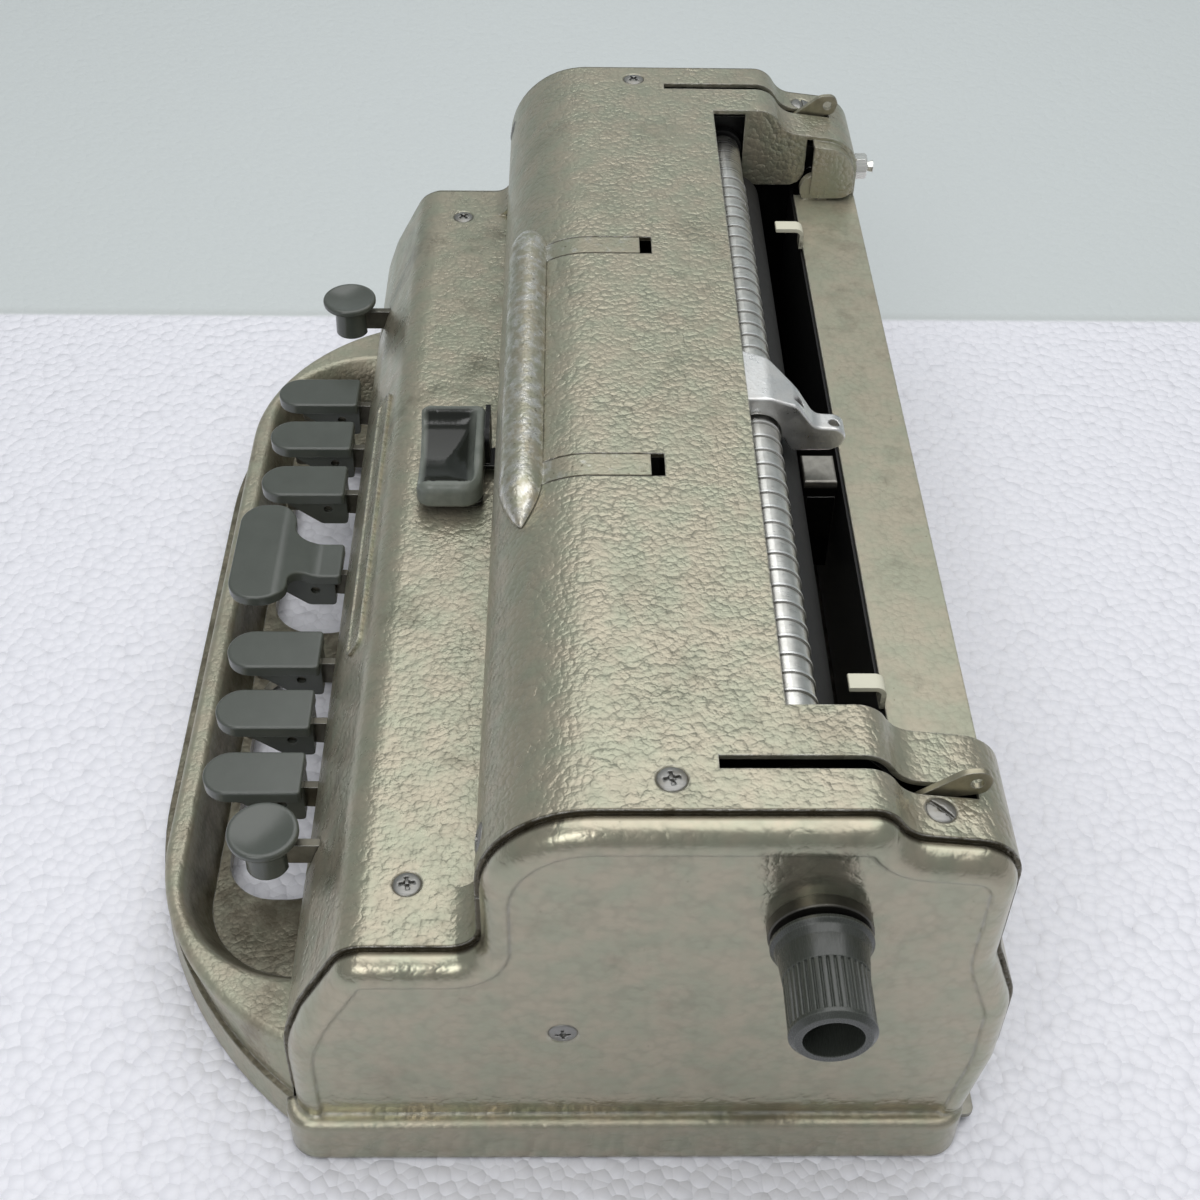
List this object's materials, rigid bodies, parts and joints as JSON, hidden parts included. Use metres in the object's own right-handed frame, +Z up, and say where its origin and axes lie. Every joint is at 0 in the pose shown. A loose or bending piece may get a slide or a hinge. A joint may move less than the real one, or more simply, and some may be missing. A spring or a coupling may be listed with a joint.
{
  "type": "manual braille writer",
  "caption": "Desk machine that embosses braille: dot keys, a space bar and round keys in a front tray, stepped painted covers, ribbed roller, sliding head, side knobs and a folding handle.",
  "frame": {"origin": "centre of the footprint, on the table surface", "axes": "+X to the user's right along the rollers, +Y from the keys to the back, +Z up"},
  "size_m": [0.423, 0.2377, 0.1365],
  "materials": {
    "cover_paint": "hammertone",
    "casting_paint": "hammertone",
    "handle_metal": "worn satin",
    "key_plastic": "semi-gloss",
    "bright_steel": "bright",
    "zinc_steel": "plated",
    "black_steel": "satin",
    "roller_rubber": "matte",
    "foot_rubber": "matte",
    "cast_head": "machined",
    "brass_bell": "satin",
    "ivory_tab": "satin"
  },
  "bodies": {
    "base": {"base_pan": "zinc_steel", "rubber_feet": "foot_rubber", "key_tray": "casting_paint", "left_end_casting": "casting_paint", "right_end_casting": "casting_paint", "front_cover": "cover_paint", "top_cover": "cover_paint", "back_cover": "cover_paint", "cover_screws": "bright_steel", "left_side_frame": "zinc_steel", "right_side_frame": "zinc_steel", "key_comb": "zinc_steel", "key_shaft": "bright_steel", "carriage_rails": "bright_steel", "escapement_rack": "zinc_steel", "roller_bearings": "black_steel", "knob_bushes": "bright_steel", "paper_guide": "black_steel", "margin_bell": "brass_bell", "handle_brackets": "zinc_steel", "rest_stop_stud": "bright_steel"},
    "dot_key_3": {"dot_3_lever": "zinc_steel", "dot_3_cap": "key_plastic"},
    "embossing_bar_3": {"embossing_bar_3": "zinc_steel"},
    "dot_key_2": {"dot_2_lever": "zinc_steel", "dot_2_cap": "key_plastic"},
    "embossing_bar_2": {"embossing_bar_2": "zinc_steel"},
    "dot_key_1": {"dot_1_lever": "zinc_steel", "dot_1_cap": "key_plastic"},
    "embossing_bar_1": {"embossing_bar_1": "zinc_steel"},
    "dot_key_4": {"dot_4_lever": "zinc_steel", "dot_4_cap": "key_plastic"},
    "embossing_bar_4": {"embossing_bar_4": "zinc_steel"},
    "dot_key_5": {"dot_5_lever": "zinc_steel", "dot_5_cap": "key_plastic"},
    "embossing_bar_5": {"embossing_bar_5": "zinc_steel"},
    "dot_key_6": {"dot_6_lever": "zinc_steel", "dot_6_cap": "key_plastic"},
    "embossing_bar_6": {"embossing_bar_6": "zinc_steel"},
    "space_bar": {"space_lever": "zinc_steel", "space_cap": "key_plastic"},
    "line_space_key": {"line_space_lever": "zinc_steel", "line_space_button": "key_plastic"},
    "backspace_key": {"backspace_lever": "zinc_steel", "backspace_button": "key_plastic"},
    "carriage_unit": {"carriage": "zinc_steel", "embossing_head": "cast_head", "stylus_block": "bright_steel"},
    "carriage_lever_unit": {"carriage_lever": "zinc_steel", "lever_scoop": "key_plastic"},
    "feed_unit": {"feed_roller": "roller_rubber", "left_feed_knob": "key_plastic", "right_feed_knob": "key_plastic"},
    "ribbed_unit": {"ribbed_roller": "bright_steel"},
    "left_release": {"left_release_lever": "zinc_steel"},
    "right_release": {"right_release_lever": "zinc_steel"},
    "handle": {"carrying_handle": "handle_metal"},
    "rest_plate": {"reading_rest": "cover_paint", "paper_tabs": "ivory_tab"}
  },
  "joints": [
    {"name": "dot_key_3_press", "type": "hinge", "parent": "base", "child": "dot_key_3", "pos_m": [-0.091, -0.02, 0.036], "axis": [1, 0, 0], "range_deg": [0, 5.2], "stiffness_Nm_per_rad": 0.9, "springref_deg": -5.16},
    {"name": "embossing_bar_3_lift", "type": "hinge", "parent": "base", "child": "embossing_bar_3", "pos_m": [0, -0.02, 0.036], "axis": [1, 0, 0], "range_deg": [0, 5.3]},
    {"name": "dot_key_2_press", "type": "hinge", "parent": "base", "child": "dot_key_2", "pos_m": [-0.0659, -0.02, 0.036], "axis": [1, 0, 0], "range_deg": [0, 5.2], "stiffness_Nm_per_rad": 0.9, "springref_deg": -5.16},
    {"name": "embossing_bar_2_lift", "type": "hinge", "parent": "base", "child": "embossing_bar_2", "pos_m": [0, -0.02, 0.036], "axis": [1, 0, 0], "range_deg": [0, 5.3]},
    {"name": "dot_key_1_press", "type": "hinge", "parent": "base", "child": "dot_key_1", "pos_m": [-0.0408, -0.02, 0.036], "axis": [1, 0, 0], "range_deg": [0, 5.2], "stiffness_Nm_per_rad": 0.9, "springref_deg": -5.16},
    {"name": "embossing_bar_1_lift", "type": "hinge", "parent": "base", "child": "embossing_bar_1", "pos_m": [0, -0.02, 0.036], "axis": [1, 0, 0], "range_deg": [0, 5.3]},
    {"name": "dot_key_4_press", "type": "hinge", "parent": "base", "child": "dot_key_4", "pos_m": [0.0408, -0.02, 0.036], "axis": [1, 0, 0], "range_deg": [0, 5.2], "stiffness_Nm_per_rad": 0.9, "springref_deg": -5.16},
    {"name": "embossing_bar_4_lift", "type": "hinge", "parent": "base", "child": "embossing_bar_4", "pos_m": [0, -0.02, 0.036], "axis": [1, 0, 0], "range_deg": [0, 5.3]},
    {"name": "dot_key_5_press", "type": "hinge", "parent": "base", "child": "dot_key_5", "pos_m": [0.0659, -0.02, 0.036], "axis": [1, 0, 0], "range_deg": [0, 5.2], "stiffness_Nm_per_rad": 0.9, "springref_deg": -5.16},
    {"name": "embossing_bar_5_lift", "type": "hinge", "parent": "base", "child": "embossing_bar_5", "pos_m": [0, -0.02, 0.036], "axis": [1, 0, 0], "range_deg": [0, 5.3]},
    {"name": "dot_key_6_press", "type": "hinge", "parent": "base", "child": "dot_key_6", "pos_m": [0.091, -0.02, 0.036], "axis": [1, 0, 0], "range_deg": [0, 5.2], "stiffness_Nm_per_rad": 0.9, "springref_deg": -5.16},
    {"name": "embossing_bar_6_lift", "type": "hinge", "parent": "base", "child": "embossing_bar_6", "pos_m": [0, -0.02, 0.036], "axis": [1, 0, 0], "range_deg": [0, 5.3]},
    {"name": "space_bar_press", "type": "hinge", "parent": "base", "child": "space_bar", "pos_m": [0, -0.02, 0.036], "axis": [1, 0, 0], "range_deg": [0, 5.2], "stiffness_Nm_per_rad": 0.9, "springref_deg": -5.16},
    {"name": "line_space_key_press", "type": "hinge", "parent": "base", "child": "line_space_key", "pos_m": [-0.126, -0.02, 0.036], "axis": [1, 0, 0], "range_deg": [0, 5.2], "stiffness_Nm_per_rad": 0.9, "springref_deg": -5.16},
    {"name": "backspace_key_press", "type": "hinge", "parent": "base", "child": "backspace_key", "pos_m": [0.126, -0.02, 0.036], "axis": [1, 0, 0], "range_deg": [0, 5.2], "stiffness_Nm_per_rad": 0.9, "springref_deg": -5.16},
    {"name": "carriage_travel", "type": "slide", "parent": "base", "child": "carriage_unit", "axis": [1, 0, 0], "range_m": [-0.134, 0.1225]},
    {"name": "carriage_lever_press", "type": "hinge", "parent": "carriage_unit", "child": "carriage_lever_unit", "pos_m": [-0.008, -0.0005, 0.0844], "axis": [1, 0, 0], "range_deg": [0, 2.5], "stiffness_Nm_per_rad": 0.5, "springref_deg": -2.86},
    {"name": "paper_feed_turn", "type": "hinge", "parent": "base", "child": "feed_unit", "pos_m": [0, 0.066, 0.1015], "axis": [1, 0, 0], "continuous": true},
    {"name": "ribbed_roller_turn", "type": "hinge", "parent": "base", "child": "ribbed_unit", "pos_m": [0, 0.0623, 0.1195], "axis": [1, 0, 0], "continuous": true},
    {"name": "left_release_pull", "type": "hinge", "parent": "base", "child": "left_release", "pos_m": [-0.1609, 0.066, 0.1015], "axis": [1, 0, 0], "range_deg": [0, 62]},
    {"name": "right_release_pull", "type": "hinge", "parent": "base", "child": "right_release", "pos_m": [0.1609, 0.066, 0.1015], "axis": [1, 0, 0], "range_deg": [0, 62]},
    {"name": "handle_lift", "type": "hinge", "parent": "base", "child": "handle", "pos_m": [0, 0.0268, 0.131], "axis": [-1, 0, 0], "range_deg": [0, 60]},
    {"name": "reading_rest_tilt", "type": "hinge", "parent": "base", "child": "rest_plate", "pos_m": [0, 0.0974, 0.1072], "axis": [-1, 0, 0], "range_deg": [0, 90]}
  ],
  "couplings": [
    {"joint": "embossing_bar_3_lift", "follows": "dot_key_3_press", "ratio": 1},
    {"joint": "embossing_bar_2_lift", "follows": "dot_key_2_press", "ratio": 1},
    {"joint": "embossing_bar_1_lift", "follows": "dot_key_1_press", "ratio": 1},
    {"joint": "embossing_bar_4_lift", "follows": "dot_key_4_press", "ratio": 1},
    {"joint": "embossing_bar_5_lift", "follows": "dot_key_5_press", "ratio": 1},
    {"joint": "embossing_bar_6_lift", "follows": "dot_key_6_press", "ratio": 1},
    {"joint": "ribbed_roller_turn", "follows": "paper_feed_turn", "ratio": -1.5714},
    {"joint": "right_release_pull", "follows": "left_release_pull", "ratio": 1}
  ]
}
